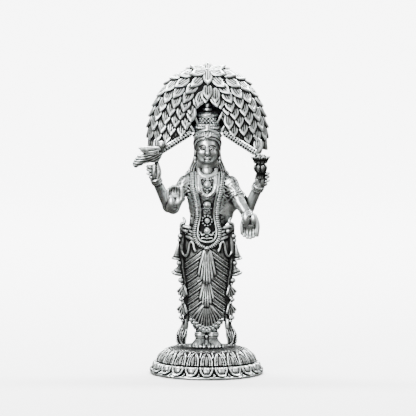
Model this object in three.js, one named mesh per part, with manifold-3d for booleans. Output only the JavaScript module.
// A silver idol of a four-armed goddess who stands on a lotus pedestal under a leafy tree.
// Units are millimetres, +Z is up, and the goddess faces -Y. The origin is the centre of the
// pedestal's underside. The idol has three castings: the pedestal, the goddess and the tree.
import * as THREE from "three";
import { ConvexGeometry } from "three/addons/geometries/ConvexGeometry.js";
import { mergeVertices } from "three/addons/utils/BufferGeometryUtils.js";
import Module from "manifold-3d";

const wasm = await Module();
wasm.setup();

// Driving dimensions
const TOTAL_HEIGHT = 110;
const PEDESTAL_RADIUS = 20.1;
const PEDESTAL_HEIGHT = 9.4;
const PETAL_COUNT = 22;
const SEAT_GAP = 0.05;
const SLIVER_VOLUME = 0.01;
const CANOPY_HALF_WIDTH = 21.1;
const CANOPY_HALF_DEPTH = 10.2;
const CANOPY_CENTRE_Y = 3.6;
const CANOPY_SPRING_Z = 82;
const CANOPY_POWER = 2.14;
const LEAF_LIFT = 0.8;
const LEAF_TIP_DROP = 0.9;
const TRUNK_Y = 7.4;
const TRUNK_RADIUS = 2.1;
const HEAD_Z = 80;
const PARROT_Y = -5.6;
const LOTUS_X = 18.6;
const LOTUS_Y = -6.8;
const CROWN_SIDES = 9;
const BODY_SIDES = 16;
const LIMB_ROUNDING = 1.08;
const SOLE = PEDESTAL_HEIGHT + SEAT_GAP;

const vec = (x, y, z) => new THREE.Vector3(x, y, z);
const lerp = THREE.MathUtils.lerp;
const mirrorX = (p) => vec(-p.x, p.y, p.z);

// A three.js geometry as a closed solid for joins and cuts, with its faces turned outwards
function solidOf(geometry) {
  const bare = geometry.index ? geometry.toNonIndexed() : geometry.clone();
  bare.deleteAttribute("normal");
  bare.deleteAttribute("uv");
  const merged = mergeVertices(bare, 1e-4);
  const make = (triVerts) =>
    new wasm.Manifold(
      new wasm.Mesh({ numProp: 3, vertProperties: merged.attributes.position.array, triVerts }),
    );
  const triVerts = new Uint32Array(merged.index.array);
  const made = make(triVerts);
  return made.volume() > 0 ? made : make(triVerts.reverse());
}

// One casting of all the solids, with no sealed hollow or sliver left between them
function joined(solids) {
  const shells = wasm.Manifold.union(solids).decompose();
  return wasm.Manifold.union(shells.filter((shell) => shell.volume() > SLIVER_VOLUME));
}

function meshOf(name, solid, material) {
  const { vertProperties, triVerts } = solid.getMesh();
  const geometry = new THREE.BufferGeometry()
    .setAttribute("position", new THREE.BufferAttribute(vertProperties, 3))
    .setIndex(new THREE.BufferAttribute(triVerts, 1));
  geometry.computeVertexNormals();
  const mesh = new THREE.Mesh(geometry, material);
  mesh.name = name;
  return mesh;
}

// A closed shell of rows of points. place(row, k) gives point k of a row, and middle(row) gives
// the centre of an end. Each quad is split along its deeper diagonal, which keeps ridges crisp.
function shell(rowCount, sides, place, middle) {
  const geometry = new THREE.CylinderGeometry(1, 1, 1, sides, rowCount - 1);
  const position = geometry.getAttribute("position");
  for (let i = 0; i < position.count; i++) {
    const row = Math.round((position.getY(i) + 0.5) * (rowCount - 1));
    const [a, b] = [position.getX(i), position.getZ(i)];
    const k = (Math.round((Math.atan2(a, b) / (2 * Math.PI)) * sides) + sides) % sides;
    const p = Math.hypot(a, b) > 0.5 ? place(row, k) : middle(row);
    position.setXYZ(i, p.x, p.y, p.z);
  }
  const index = geometry.getIndex();
  const axis = middle(0).add(middle(rowCount - 1)).multiplyScalar(0.5);
  const depth = (i, j) => {
    const p = vec(position.getX(i) + position.getX(j), position.getY(i) + position.getY(j), 0);
    return Math.hypot(p.x / 2 - axis.x, p.y / 2 - axis.y);
  };
  for (let q = 0; q < sides * (rowCount - 1); q++) {
    const [a, b, d, , c] = Array.from({ length: 6 }, (_, n) => index.getX(q * 6 + n));
    if (depth(a, c) < depth(b, d)) [a, b, c, a, c, d].forEach((v, n) => index.setX(q * 6 + n, v));
  }
  return solidOf(geometry);
}

// A closed tube through rings. A ring is { at, u, v }: its centre and its two half axes.
function loft(rings, sides) {
  return shell(
    rings.length,
    sides,
    (row, k) => {
      const { at, u, v } = rings[row];
      const angle = (k / sides) * 2 * Math.PI;
      return at.clone().addScaledVector(u, Math.cos(angle)).addScaledVector(v, Math.sin(angle));
    },
    (row) => rings[row].at.clone(),
  );
}

// A tube along points, with a radius at each one. flat is its thickness as a share of its width,
// and facing is the direction that the thickness is measured in.
function tube(points, radii, sides = 6, flat = 1, facing = vec(0, 1, 0)) {
  const rings = points.map((at, i) => {
    const before = points[Math.max(i - 1, 0)];
    const after = points[Math.min(i + 1, points.length - 1)];
    const along = after.clone().sub(before).normalize();
    const across = along.clone().cross(facing).normalize();
    const through = along.clone().cross(across).normalize();
    const radius = Array.isArray(radii) ? radii[i] : radii;
    return {
      at,
      u: across.multiplyScalar(radius),
      v: through.multiplyScalar(radius * flat),
    };
  });
  return loft(rings, sides);
}

function ellipsoid(at, half, turn = vec(0, 0, 0), wide = 10, high = 7) {
  const geometry = new THREE.SphereGeometry(1, wide, high);
  geometry.scale(half.x, half.y, half.z);
  geometry.applyMatrix4(
    new THREE.Matrix4().makeRotationFromEuler(new THREE.Euler(turn.x, turn.y, turn.z)),
  );
  geometry.translate(at.x, at.y, at.z);
  return solidOf(geometry);
}

const hull = (points) => solidOf(new ConvexGeometry(points));

// A solid turned from a profile of [radius, z] pairs about a vertical axis
function turned(profile, sides, x = 0, y = 0) {
  const points = profile.map(([r, z]) => new THREE.Vector2(r, z));
  const geometry = new THREE.LatheGeometry(points, sides);
  geometry.rotateX(Math.PI / 2);
  geometry.translate(x, y, 0);
  return solidOf(geometry);
}

// The pedestal's outline as [radius, z, petal relief, petal width as a share of its place]
const PEDESTAL_OUTLINE = [
  [19.7, 0, 0, 0.3],
  [PEDESTAL_RADIUS, 1.1, 0, 0.3],
  [19.3, 2.7, 0.9, 0.62],
  [18.2, 4.1, 0.6, 0.7],
  [16.9, 4.4, 0, 0.7],
  [17.2, 5.5, 0.8, 0.7],
  [16.2, 7.3, 0.8, 0.62],
  [14.7, 8.7, 0.6, 0.34],
  [12.5, PEDESTAL_HEIGHT, 0, 0.34],
];

// Two rings of petals, the lower one with tips down and the upper one with tips up. A petal
// has a flat face, and a groove lies between each two.
function pedestal() {
  const perPetal = 3;
  const sides = PETAL_COUNT * perPetal;
  const place = (row, k) => {
    const [radius, z, relief, width] = PEDESTAL_OUTLINE[row];
    const share = [0, 0.5 - width / 2, 0.5 + width / 2][k % perPetal];
    const angle = ((Math.floor(k / perPetal) + share) / PETAL_COUNT) * 2 * Math.PI;
    const r = radius - (k % perPetal === 0 ? relief : 0);
    return vec(r * Math.cos(angle), r * Math.sin(angle), z);
  };
  return shell(PEDESTAL_OUTLINE.length, sides, place, (row) => vec(0, 0, PEDESTAL_OUTLINE[row][1]));
}

// The body from the hem to the shoulders: height, half width, half depth and centre in y
const BODY = [
  { z: 15.2, w: 3.6, d: 2.5, y: 0.2 },
  { z: 18.5, w: 5.4, d: 3.4, y: 0.1 },
  { z: 23.0, w: 6.3, d: 3.9, y: 0 },
  { z: 29.5, w: 6.7, d: 4.1, y: 0 },
  { z: 35.5, w: 7.5, d: 4.3, y: 0 },
  { z: 42.0, w: 8.3, d: 4.5, y: 0 },
  { z: 47.5, w: 8.0, d: 4.2, y: 0 },
  { z: 51.5, w: 6.7, d: 3.5, y: 0 },
  { z: 55.5, w: 6.1, d: 3.1, y: 0 },
  { z: 59.0, w: 6.6, d: 3.3, y: -0.1 },
  { z: 63.5, w: 7.7, d: 3.9, y: -0.4 },
  { z: 67.5, w: 8.2, d: 3.4, y: 0 },
  { z: 70.3, w: 7.4, d: 2.6, y: 0.4 },
  { z: 71.8, w: 4.4, d: 2.3, y: 0.6 },
];

function bodyAt(z) {
  const next = Math.max(1, BODY.findIndex((ring) => ring.z >= z));
  const [low, high] = [BODY[next - 1], BODY[next]];
  const share = THREE.MathUtils.clamp((z - low.z) / (high.z - low.z), 0, 1);
  return {
    w: lerp(low.w, high.w, share),
    d: lerp(low.d, high.d, share),
    y: lerp(low.y, high.y, share),
  };
}

// The point of the body's front at x and z, lifted off it by lift
function front(x, z, lift = 0) {
  const { w, d, y } = bodyAt(z);
  const share = Math.min(Math.abs(x) / (w + lift), 0.97);
  return vec(x, y - (d + lift) * Math.sqrt(1 - share * share), z);
}

// The skirt's cloth lies in bands, each over the next, that fall from the middle outwards
const FOLDS = { top: 44.4, pitch: 3.05, count: 9, sag: 3.0, out: 0.25, under: -0.55, step: 0.45 };

function torsoAndSkirt() {
  const hem = BODY[0].z;
  const hemStep = 0.02;
  const all = [{ z: hem, lift: 0, sag: 0 }];
  for (let k = FOLDS.count - 1; k >= 0; k--) {
    const z = FOLDS.top - k * FOLDS.pitch;
    all.push({ z, lift: FOLDS.under, sag: FOLDS.sag });
    all.push({ z: z + FOLDS.step, lift: FOLDS.out, sag: FOLDS.sag });
  }
  const aboveFolds = BODY.filter((ring) => ring.z > FOLDS.top + FOLDS.step);
  all.push(...aboveFolds.map(({ z }) => ({ z, lift: 0, sag: 0 })));
  const place = (row, k) => {
    const { z, lift, sag } = all[row];
    const angle = (k / BODY_SIDES) * 2 * Math.PI;
    const share = Math.sin(angle) < 0 ? Math.cos(angle) ** 2 : 1;
    const low = Math.max(z - sag * share, hem + hemStep * row);
    const body = bodyAt(low);
    return vec(
      (body.w + lift) * Math.cos(angle),
      body.y + (body.d + lift) * Math.sin(angle),
      low,
    );
  };
  return shell(all.length, BODY_SIDES, place, (row) => vec(0, bodyAt(all[row].z).y, all[row].z));
}

// Three pleated fans hang one above the other down the middle of the skirt
const FANS = [
  { top: 43.6, wide: 35.4, tip: 31.8, neck: 1.1, half: 3.2, pleats: 3 },
  { top: 32.8, wide: 26.9, tip: 23.8, neck: 1.2, half: 2.5, pleats: 3 },
  { top: 24.6, wide: 18.9, tip: 14.9, neck: 1.1, half: 5.7, pleats: 5 },
];

function pleatedFans() {
  return FANS.map(({ top, wide, tip, neck, half, pleats }) => {
    const sides = pleats * 2 + 3;
    const middle = (row) => front(0, row ? top : wide, -0.4);
    const place = (row, k) => {
      const share = Math.min(k, pleats * 2) / pleats - 1;
      const bottom = lerp(tip, wide, share * share);
      const x = share * (row ? neck : half);
      if (k > pleats * 2) {
        const side = k > pleats * 2 + 1 ? -0.8 : 0.8;
        return front(side * (row ? neck : half), row ? top : wide + 0.4, -1.3);
      }
      const pleat = k % 2 ? 1.35 : 0.45;
      return row ? front(x, top, pleat * 0.7) : front(x, bottom, pleat);
    };
    return shell(2, sides, place, middle);
  });
}

// The long garland, from one shoulder down past the waist to the other, as [x, z]
const GARLAND = [
  [5.5, 70.2],
  [5.2, 67.5],
  [4.4, 64.0],
  [3.7, 60.0],
  [3.35, 55.5],
  [3.8, 52.3],
  [4.1, 49.8],
  [3.2, 47.0],
  [1.5, 45.4],
];

function strand(path, radius, lift, sides, flat = 0.8) {
  const half = path.map(([x, z]) => front(x, z, lift));
  const lowest = path[path.length - 1][1] - 0.3;
  return tube([...half, front(0, lowest, lift), ...half.map(mirrorX).reverse()], radius, sides, flat);
}

function jewellery() {
  const choker = [
    [3.4, 72.0],
    [2.9, 70.9],
    [1.6, 69.9],
  ];
  const necklace = [
    [4.2, 70.4],
    [3.9, 67.4],
    [2.7, 64.6],
    [1.2, 63.2],
  ];
  const pendants = [
    [67.2, 1.2],
    [60.0, 1.35],
    [54.7, 1.7],
    [51.1, 1.15],
  ];
  return [
    strand(GARLAND, 1.05, 0.25, 4),
    strand(choker, 0.7, 0.4, 3),
    strand(necklace, 0.85, 0.15, 3),
    ...pendants.map(([z, r]) => ellipsoid(front(0, z, 0.2), vec(r, 0.75, r), vec(0, 0, 0), 7, 3)),
  ];
}

// The belt's cords: a loop that hangs at the hip and turns over beside the garland
function beltLoops() {
  const path = [
    [8.4, 48.0],
    [8.3, 44.0],
    [7.3, 41.8],
    [6.2, 43.8],
    [6.0, 46.3],
    [5.0, 47.2],
    [4.4, 45.0],
  ];
  const right = path.map(([x, z]) => front(x, z, 0.35));
  return [right, right.map(mirrorX)].map((points) => tube(points, 0.42, 3));
}

// The sash's two falls, from the bow at the hip to the pedestal: [z, x of the outer edge]. Each
// fold widens down to a lip, and steps in under it.
const SASH_FALL = [
  [SOLE, 10.2],
  [14.4, 10.8],
  [17.6, 8.5],
  [21.0, 10.1],
  [24.4, 8.8],
  [27.8, 10.4],
  [31.6, 8.7],
  [33.6, 9.9],
  [34.3, 12.2],
  [36.2, 12.3],
  [38.4, 10.6],
  [39.6, 12.4],
  [42.6, 12.0],
  [46.0, 10.4],
  [48.8, 10.4],
  [52.6, 9.7],
  [55.2, 8.6],
];
const SASH_THICKNESS = 1.35;
const SASH_SPLIT = 15.8;
const SASH_INNER = 6.6;

function sash() {
  const solids = [];
  const depthAt = (z) => (z > 50 ? 1.2 : z > 44 ? 1.7 : SASH_THICKNESS);
  for (const side of [-1, 1]) {
    const rings = SASH_FALL.map(([z, outer]) => {
      const inner = z < SASH_SPLIT ? SASH_INNER : Math.min(bodyAt(z).w - 0.7, outer - 2.6);
      return {
        at: vec((side * (outer + inner)) / 2, -0.7, z),
        u: vec((outer - inner) / 2, 0, 0),
        v: vec(0, depthAt(z), 0),
      };
    });
    solids.push(loft(rings, 6));
    for (const z of [51.4, 48.6]) {
      const band = [0.99, 0.8, 0.5].map((share) => {
        const x = side * share * bodyAt(z).w;
        return front(x, z - 2.2 * (1 - share), 0.15);
      });
      solids.push(tube(band, 0.75, 3, 0.7));
    }
  }
  return solids;
}

function neckAndHead() {
  const neck = tube([vec(0, 0.6, 69), vec(0, 0.3, 77)], [3.1, 2.5], 8);
  const head = ellipsoid(vec(0, -0.3, HEAD_Z), vec(4.2, 4.5, 5.3), vec(0, 0, 0), 10, 8);
  const nose = hull([
    vec(0, -4.4, 81.7),
    vec(-0.75, -4.3, 78.9),
    vec(0.75, -4.3, 78.9),
    vec(0, -5.5, 79.2),
    vec(0, -3.2, 80.2),
  ]);
  const lips = ellipsoid(vec(0, -4.1, 77.4), vec(1.2, 0.75, 0.5), undefined, 6, 3);
  const ears = [-1, 1].map((side) =>
    ellipsoid(vec(side * 4.3, -0.3, 78.4), vec(0.7, 1.1, 2.4), undefined, 5, 4),
  );
  return [neck, head, nose, lips, ...ears];
}

// The hair falls behind the ears, spreads on the shoulders and ends between the shoulder blades
function hair() {
  const rows = [
    { z: 63, w: 3.0, d: 0.9, y: 3.6 },
    { z: 67, w: 5.2, d: 1.3, y: 3.2 },
    { z: 70.2, w: 8.4, d: 2.2, y: 1.8 },
    { z: 72.2, w: 6.5, d: 2.6, y: 1.7 },
    { z: 74.5, w: 5.6, d: 3.0, y: 1.5 },
    { z: 77.5, w: 4.9, d: 3.2, y: 1.4 },
    { z: 84, w: 4.9, d: 3.3, y: 1.2 },
  ];
  const rings = rows.map(({ z, w, d, y }) => ({
    at: vec(0, y, z),
    u: vec(w, 0, 0),
    v: vec(0, d, 0),
  }));
  return loft(rings, 10);
}

// The tall crown, tier on tier, with a tiara that rises to a jewel over the brow
function crown() {
  const tiers = [
    [0, 83.4],
    [4.7, 83.4],
    [4.9, 85.4],
    [4.3, 87.6],
    [4.1, 88.8],
    [3.1, 89.0],
    [2.9, 91.2],
    [3.8, 91.7],
    [3.3, 92.6],
    [1.4, 92.9],
    [1.65, 93.6],
    [0.8, 94.3],
    [1.1, 95.0],
    [0.4, 95.9],
    [0, 96.0],
  ];
  const tiara = hull([
    vec(-4.9, -1.2, 82.6),
    vec(4.9, -1.2, 82.6),
    vec(-3.6, -3.9, 84.2),
    vec(3.6, -3.9, 84.2),
    vec(-4.8, -1.6, 86.2),
    vec(4.8, -1.6, 86.2),
    vec(-1.2, -5.2, 84.6),
    vec(1.2, -5.2, 84.6),
    vec(0, -5.0, 88.6),
    vec(0, 1, 85),
  ]);
  const jewel = ellipsoid(vec(0, -4.9, 86.9), vec(0.9, 0.6, 1.3), undefined, 6, 4);
  const temples = [-1, 1].map((side) =>
    tube([vec(side * 4.6, -1.4, 84.6), vec(side * 4.5, -1.2, 80.6)], [0.7, 0.4], 5),
  );
  return [turned(tiers, CROWN_SIDES), tiara, jewel, ...temples];
}

// Each arm as shoulder, elbow and wrist with the radius at each, the first two on her right
const ARMS = [
  {
    points: [vec(-7.4, 0.8, 68.0), vec(-13.6, 1.2, 59.0), vec(-18.1, -2.6, 67.8)],
    radii: [2.1, 2.15, 1.55],
  },
  {
    points: [vec(-7.8, -0.6, 67.8), vec(-12.0, -2.2, 58.9), vec(-11.4, -6.6, 60.8)],
    radii: [2.5, 2.3, 1.75],
  },
  {
    points: [vec(7.4, 0.8, 67.4), vec(14.7, 1.2, 58.8), vec(18.2, -3.8, 66.6)],
    radii: [1.9, 2.0, 1.75],
  },
  {
    points: [vec(8.2, -0.6, 67.4), vec(11.5, -2.6, 60.6), vec(14.8, -4.8, 55.6)],
    radii: [2.7, 2.1, 1.7],
  },
];

// A limb that is round at both ends
function limb(from, fromRadius, to, toRadius) {
  const points = [];
  for (const [at, radius] of [
    [from, fromRadius],
    [to, toRadius],
  ]) {
    const ball = new THREE.IcosahedronGeometry(radius * LIMB_ROUNDING, 0);
    ball.deleteAttribute("normal").deleteAttribute("uv");
    const corners = mergeVertices(ball).getAttribute("position");
    for (let i = 0; i < corners.count; i++)
      points.push(new THREE.Vector3().fromBufferAttribute(corners, i).add(at));
  }
  return hull(points);
}

// The arms, and the end of the shawl that hangs between her left arms and her side
function arms() {
  const limbs = ARMS.flatMap(({ points, radii }) => {
    const [shoulder, elbow, wrist] = points;
    const along = wrist.clone().sub(elbow).normalize();
    const cuff = [-1.5, -0.3].map((step) => wrist.clone().addScaledVector(along, step));
    return [
      limb(shoulder, radii[0], elbow, radii[1]),
      limb(elbow, radii[1], wrist, radii[2]),
      tube(cuff, radii[2] + 0.45, 6),
    ];
  });
  const shawl = hull([
    vec(5.2, -0.6, 66),
    vec(10.6, -1.6, 63),
    vec(11.4, -2.0, 59.6),
    vec(10.2, -0.4, 57.4),
    vec(5.4, -0.8, 55.4),
    vec(5.2, 1.8, 66),
    vec(10.6, 1.6, 60),
    vec(5.4, 1.4, 55.4),
  ]);
  return [...limbs, shawl];
}

// An open hand with its palm to the front. reach is +1 for fingers up and -1 for fingers down.
// The thumb is on the +X side of both.
function openHand(at, reach, size) {
  const p = (x, y, z) => vec(at.x + size * x, at.y + size * y, at.z + size * reach * z);
  const palm = hull([
    p(-1.5, -0.7, -2.8),
    p(1.6, -0.7, -2.8),
    p(-2.2, -0.9, 0.4),
    p(2.3, -0.9, 0.2),
    p(-1.5, 0.9, -2.8),
    p(1.5, 0.9, -2.8),
    p(-2.1, 0.6, 0.6),
    p(2.1, 0.6, 0.6),
  ]);
  const fingers = [-1.55, -0.52, 0.52, 1.55].map((x, k) => {
    const length = 4.3 - 0.55 * Math.abs(k - 1.5);
    return tube([p(x * 1.02, 0, -0.2), p(x, -0.3, length)], [0.66 * size, 0.46 * size], 4);
  });
  const side = [p(1.5, -0.5, -1.9), p(2.6, -0.9, 0.2), p(2.5, -1.0, 2.6)];
  const radii = [0.9, 0.7, 0.45].map((radius) => radius * size);
  return [palm, ...fingers, tube(side, radii, 4)];
}

// A closed hand: fingers curl to the outer side, and the thumb stands up on the inner side
function closedHand(wrist, side) {
  const p = (x, y, z) => vec(wrist.x + side * x, wrist.y + y, wrist.z + z);
  const palm = hull([
    p(-1.2, -1.2, 0),
    p(1.0, -1.3, 0.2),
    p(-1.0, 1.2, 0),
    p(1.2, 1.0, 0.2),
    p(-0.9, -1.0, 4.2),
    p(2.0, -1.2, 3.8),
    p(-0.4, 1.0, 4.4),
    p(2.2, 0.8, 3.6),
  ]);
  const fingers = [1.5, 2.7, 3.9].map((z) => tube([p(2.6, 0, z), p(1.0, -1.9, z)], [0.65, 0.5], 4));
  const thumb = tube(
    [p(-0.9, -1.4, 0.6), p(-1.3, -1.6, 3.2), p(-0.5, -1.3, 5.8)],
    [0.8, 0.7, 0.45],
    4,
  );
  return [palm, ...fingers, thumb];
}

// The parrot sits on her raised right hand, with its tail down to the outer side
function parrot() {
  const p = (x, y, z) => vec(x, PARROT_Y + y, z);
  const head = ellipsoid(p(-16.2, 0, 82.0), vec(1.5, 1.4, 1.6), vec(0, 0.3, 0), 7, 5);
  const neck = tube([p(-17.6, 0, 79.2), p(-16.5, 0, 82.0)], [1.9, 1.2], 6);
  const body = ellipsoid(p(-19.0, 0, 77.8), vec(2.7, 2.2, 4.2), vec(0, 0.8, 0), 7, 5);
  const beak = hull([
    p(-15.5, -0.5, 82.4),
    p(-15.5, 0.5, 82.4),
    p(-15.9, 0, 80.8),
    p(-14.6, 0, 81.4),
    p(-15.1, 0, 79.4),
  ]);
  const tail = hull([
    p(-19.6, -1.2, 79.6),
    p(-19.6, 1.2, 79.6),
    p(-20.0, -0.8, 74.2),
    p(-20.0, 0.8, 74.2),
    p(-26.2, -0.3, 73.6),
    p(-25.5, -0.4, 72.3),
    p(-26.0, 0.4, 72.6),
  ]);
  const wing = hull([
    p(-16.6, -1.6, 80.4),
    p(-17.6, -1.0, 81.0),
    p(-22.4, -0.8, 80.6),
    p(-23.6, 0.2, 79.6),
    p(-20.6, -1.9, 77.2),
    p(-18.2, -2.2, 77.6),
  ]);
  const perch = tube([p(-18.6, 1.2, 71.5), p(-18.6, 0.4, 76.5)], [1.5, 2.0], 6);
  return [head, neck, body, beak, tail, wing, perch];
}

// The lotus in her raised left hand: an open cup over a ring of turned-down petals
function lotus() {
  const cup = [
    [0, 71.4],
    [1.5, 71.6],
    [2.1, 72.9],
    [1.5, 74.1],
    [2.0, 75.4],
    [2.7, 77.4],
    [1.9, 78.4],
    [0, 78.2],
  ];
  const petals = [];
  for (const [count, low, high, inner, outer, turn] of [
    [7, 75.2, 78.6, 2.2, 3.5, -Math.PI / 2],
    [5, 74.4, 71.9, 1.6, 2.5, Math.PI / 2],
  ]) {
    for (let k = 0; k < count; k++) {
      const angle = turn + (k / count) * 2 * Math.PI;
      const at = (r, z, swing) =>
        vec(LOTUS_X + r * Math.cos(angle + swing), LOTUS_Y + r * Math.sin(angle + swing), z);
      petals.push(
        hull([
          at(inner, low, 0),
          at((inner + outer) / 2, (low + high) / 2, 0.36),
          at((inner + outer) / 2, (low + high) / 2, -0.36),
          at(outer, high, 0),
          at(outer * 0.95, (low + high) / 2, 0),
          at(inner * 0.5, (low + high) / 2, 0),
        ]),
      );
    }
  }
  const stem = tube([vec(LOTUS_X, LOTUS_Y + 1.2, 69.2), vec(LOTUS_X, LOTUS_Y, 72.4)], 0.9, 5);
  return [turned(cup, 7, LOTUS_X, LOTUS_Y), stem, ...petals];
}

function feet() {
  const solids = [];
  for (const side of [-1, 1]) {
    const p = (x, y, z) => vec(side * x, y, z);
    solids.push(tube([p(2.0, 0.3, 18), p(2.05, 0.3, 11)], 1.95, 7));
    solids.push(tube([p(2.05, 0.3, 14.4), p(2.05, 0.3, 13.2)], 2.3, 7));
    solids.push(
      hull([
        p(0.7, 2.4, SOLE),
        p(3.0, 2.4, SOLE),
        p(0.3, -6.0, SOLE),
        p(6.3, -4.8, SOLE),
        p(0.3, -6.0, SOLE + 0.9),
        p(6.3, -4.8, SOLE + 0.9),
        p(0.5, -1.2, 12.8),
        p(3.7, -1.0, 12.8),
        p(1.0, 2.4, 12.0),
        p(3.0, 2.4, 12.0),
      ]),
    );
    for (let toe = 0; toe < 5; toe++) {
      const at = (x, y, z) => p(0.9 + toe * 1.25 + x, toe * 0.3 + y, SOLE + z);
      solids.push(
        hull([
          at(-0.55, -5.4, 0),
          at(0.55, -5.4, 0),
          at(0, -7.3, 0),
          at(0, -6.7, 1.0),
          at(0, -4.6, 1.5),
        ]),
      );
    }
  }
  return solids;
}

function goddess() {
  return joined([
    torsoAndSkirt(),
    ...pleatedFans(),
    ...jewellery(),
    ...beltLoops(),
    ...sash(),
    ...neckAndHead(),
    hair(),
    ...crown(),
    ...arms(),
    ...openHand(vec(-11.3, -7.2, 63.2), 1, 1),
    ...openHand(vec(15.0, -5.4, 52.9), -1, 1.14),
    ...closedHand(ARMS[0].points[2], -1),
    ...closedHand(ARMS[2].points[2].clone().add(vec(0.7, 0, 0)), 1),
    ...parrot(),
    ...lotus(),
    ...feet(),
  ]);
}

// The canopy's surface at an angle round it, from the front, and a height
function canopyPoint(angle, z, lift = 0) {
  const up = Math.max(0, (z - CANOPY_SPRING_Z) / (TOTAL_HEIGHT - CANOPY_SPRING_Z));
  const narrow = (1 - Math.min(1, up) ** CANOPY_POWER) ** (1 / CANOPY_POWER);
  const tuck = z < CANOPY_SPRING_Z ? 1 - 0.006 * (CANOPY_SPRING_Z - z) ** 1.5 : 1;
  return vec(
    (CANOPY_HALF_WIDTH * narrow * tuck + lift) * Math.sin(angle),
    CANOPY_CENTRE_Y - (CANOPY_HALF_DEPTH * narrow * tuck + lift) * Math.cos(angle),
    z,
  );
}

// The canopy's leaves by zone, with fewer round it higher up: [leaves in a row, heights of rows]
const LEAF_ZONES = [
  [22, [78.2, 81.1, 84.0, 86.9, 89.8, 92.7, 95.5, 98.2, 100.7, 102.8]],
  [13, [101.2, 103.8, 106.0, 107.8, 109.2, 110.6]],
];

// In each row every other point is a leaf's tip, low and lifted, and the points between are the
// notches beside it, high and sunk. Each row is half a leaf round from the row above.
function leafZone([count, heights]) {
  const place = (row, k) => {
    const isTip = (row + k) % 2 === 0;
    const z = heights[row] + (isTip ? -LEAF_TIP_DROP : LEAF_TIP_DROP);
    const lift = isTip ? LEAF_LIFT : -LEAF_LIFT / 3;
    return canopyPoint((k / count) * Math.PI, Math.min(z, TOTAL_HEIGHT - 0.3), lift);
  };
  const middle = (row) => vec(0, CANOPY_CENTRE_Y, Math.min(heights[row], TOTAL_HEIGHT));
  return shell(heights.length, count * 2, place, middle);
}

// The underside rises from each lobe's foot to the crown, as x and z
const UNDERSIDE = [
  [14.9, 70],
  [14.9, 78.0],
  [5.6, 84.4],
];

function undersideCut() {
  const outline = new THREE.Shape(
    [...UNDERSIDE, ...UNDERSIDE.map(([x, z]) => [-x, z]).reverse()].map(
      ([x, z]) => new THREE.Vector2(x, z),
    ),
  );
  const geometry = new THREE.ExtrudeGeometry(outline, { depth: 60, bevelEnabled: false });
  geometry.rotateX(Math.PI / 2);
  geometry.translate(0, 30, 0);
  return solidOf(geometry);
}

// The hollow that the crown stands in, open at the front and below
const NICHE = { back: 5.4, foot: 6.7, head: 3.4, top: 98.0 };

function nicheCut() {
  const outline = new THREE.Shape();
  outline.moveTo(-NICHE.foot, 80);
  outline.lineTo(NICHE.foot, 80);
  outline.lineTo(NICHE.foot, 88);
  outline.quadraticCurveTo(NICHE.foot - 0.6, 94, NICHE.head, 96.4);
  outline.quadraticCurveTo(0, NICHE.top + 1, -NICHE.head, 96.4);
  outline.quadraticCurveTo(-NICHE.foot + 0.6, 94, -NICHE.foot, 88);
  const geometry = new THREE.ExtrudeGeometry(outline, {
    depth: 30,
    bevelEnabled: false,
    curveSegments: 3,
  });
  geometry.rotateX(Math.PI / 2);
  geometry.translate(0, NICHE.back, 0);
  return solidOf(geometry);
}

// A single leaf that hangs from root to tip, and faces the front
function hangingLeaf(root, tip, width) {
  const along = tip.clone().sub(root);
  const side = vec(along.z, 0, -along.x).normalize().multiplyScalar(width / 2);
  const wide = root.clone().addScaledVector(along, 0.42);
  return hull([
    root,
    wide.clone().add(side),
    wide.clone().sub(side),
    wide.clone().add(vec(0, -0.75, 0)),
    wide.clone().add(vec(0, 0.9, 0)),
    tip,
  ]);
}

// Leaves hang round the crown's niche, along the sloping underside and below each lobe
function edgeLeaves() {
  const solids = [];
  const hang = (x, z, y, length, lean, width) => {
    for (const side of [-1, 1]) {
      if (side > 0 && x === 0) continue;
      const root = vec(side * x, y, z);
      solids.push(hangingLeaf(root, vec(side * (x + lean), y - 0.2, z - length), width));
    }
  };
  hang(0, 100.2, -5.6, 5.0, 0, 3.8);
  hang(3.4, 99.0, -5.5, 4.8, 0.6, 3.6);
  hang(6.6, 95.2, -5.4, 5.0, 0.6, 3.4);
  hang(8.0, 89.4, -5.4, 5.0, -0.2, 3.4);
  hang(11.4, 84.4, -5.0, 4.4, 0.6, 3.4);
  hang(16.2, 79.8, -2.6, 3.6, -0.3, 3.2);
  return solids;
}

// The trunk stands behind the goddess, on spread roots, and widens into the canopy's back
function trunk() {
  const rows = [
    { z: SOLE, r: 3.3, x: 0 },
    { z: 12.5, r: 2.3, x: 0.1 },
    { z: 34, r: 2.1, x: 0.25 },
    { z: 56, r: 1.95, x: -0.15 },
    { z: 76, r: 2.1, x: 0 },
    { z: 82, r: 2.9, x: 0 },
    { z: 88, r: 4.4, x: 0 },
  ];
  return loft(
    rows.map(({ z, r, x }) => ({
      at: vec(x, TRUNK_Y + (r - TRUNK_RADIUS) * 0.6, z),
      u: vec(r, 0, 0),
      v: vec(0, Math.min(r, 2.6) * 0.92, 0),
    })),
    8,
  );
}

function tree() {
  const canopy = joined(LEAF_ZONES.map(leafZone)).subtract(undersideCut()).subtract(nicheCut());
  return joined([canopy, ...edgeLeaves(), trunk()]);
}

const silver = () =>
  new THREE.MeshStandardMaterial({ color: 0xb9b8b0, roughness: 0.3, metalness: 1 });

const idol = new THREE.Group();
idol.add(meshOf("lotus_pedestal", pedestal(), silver()));
idol.add(meshOf("goddess_figure", goddess(), silver()));
idol.add(meshOf("leafy_tree", tree(), silver()));

export default idol;
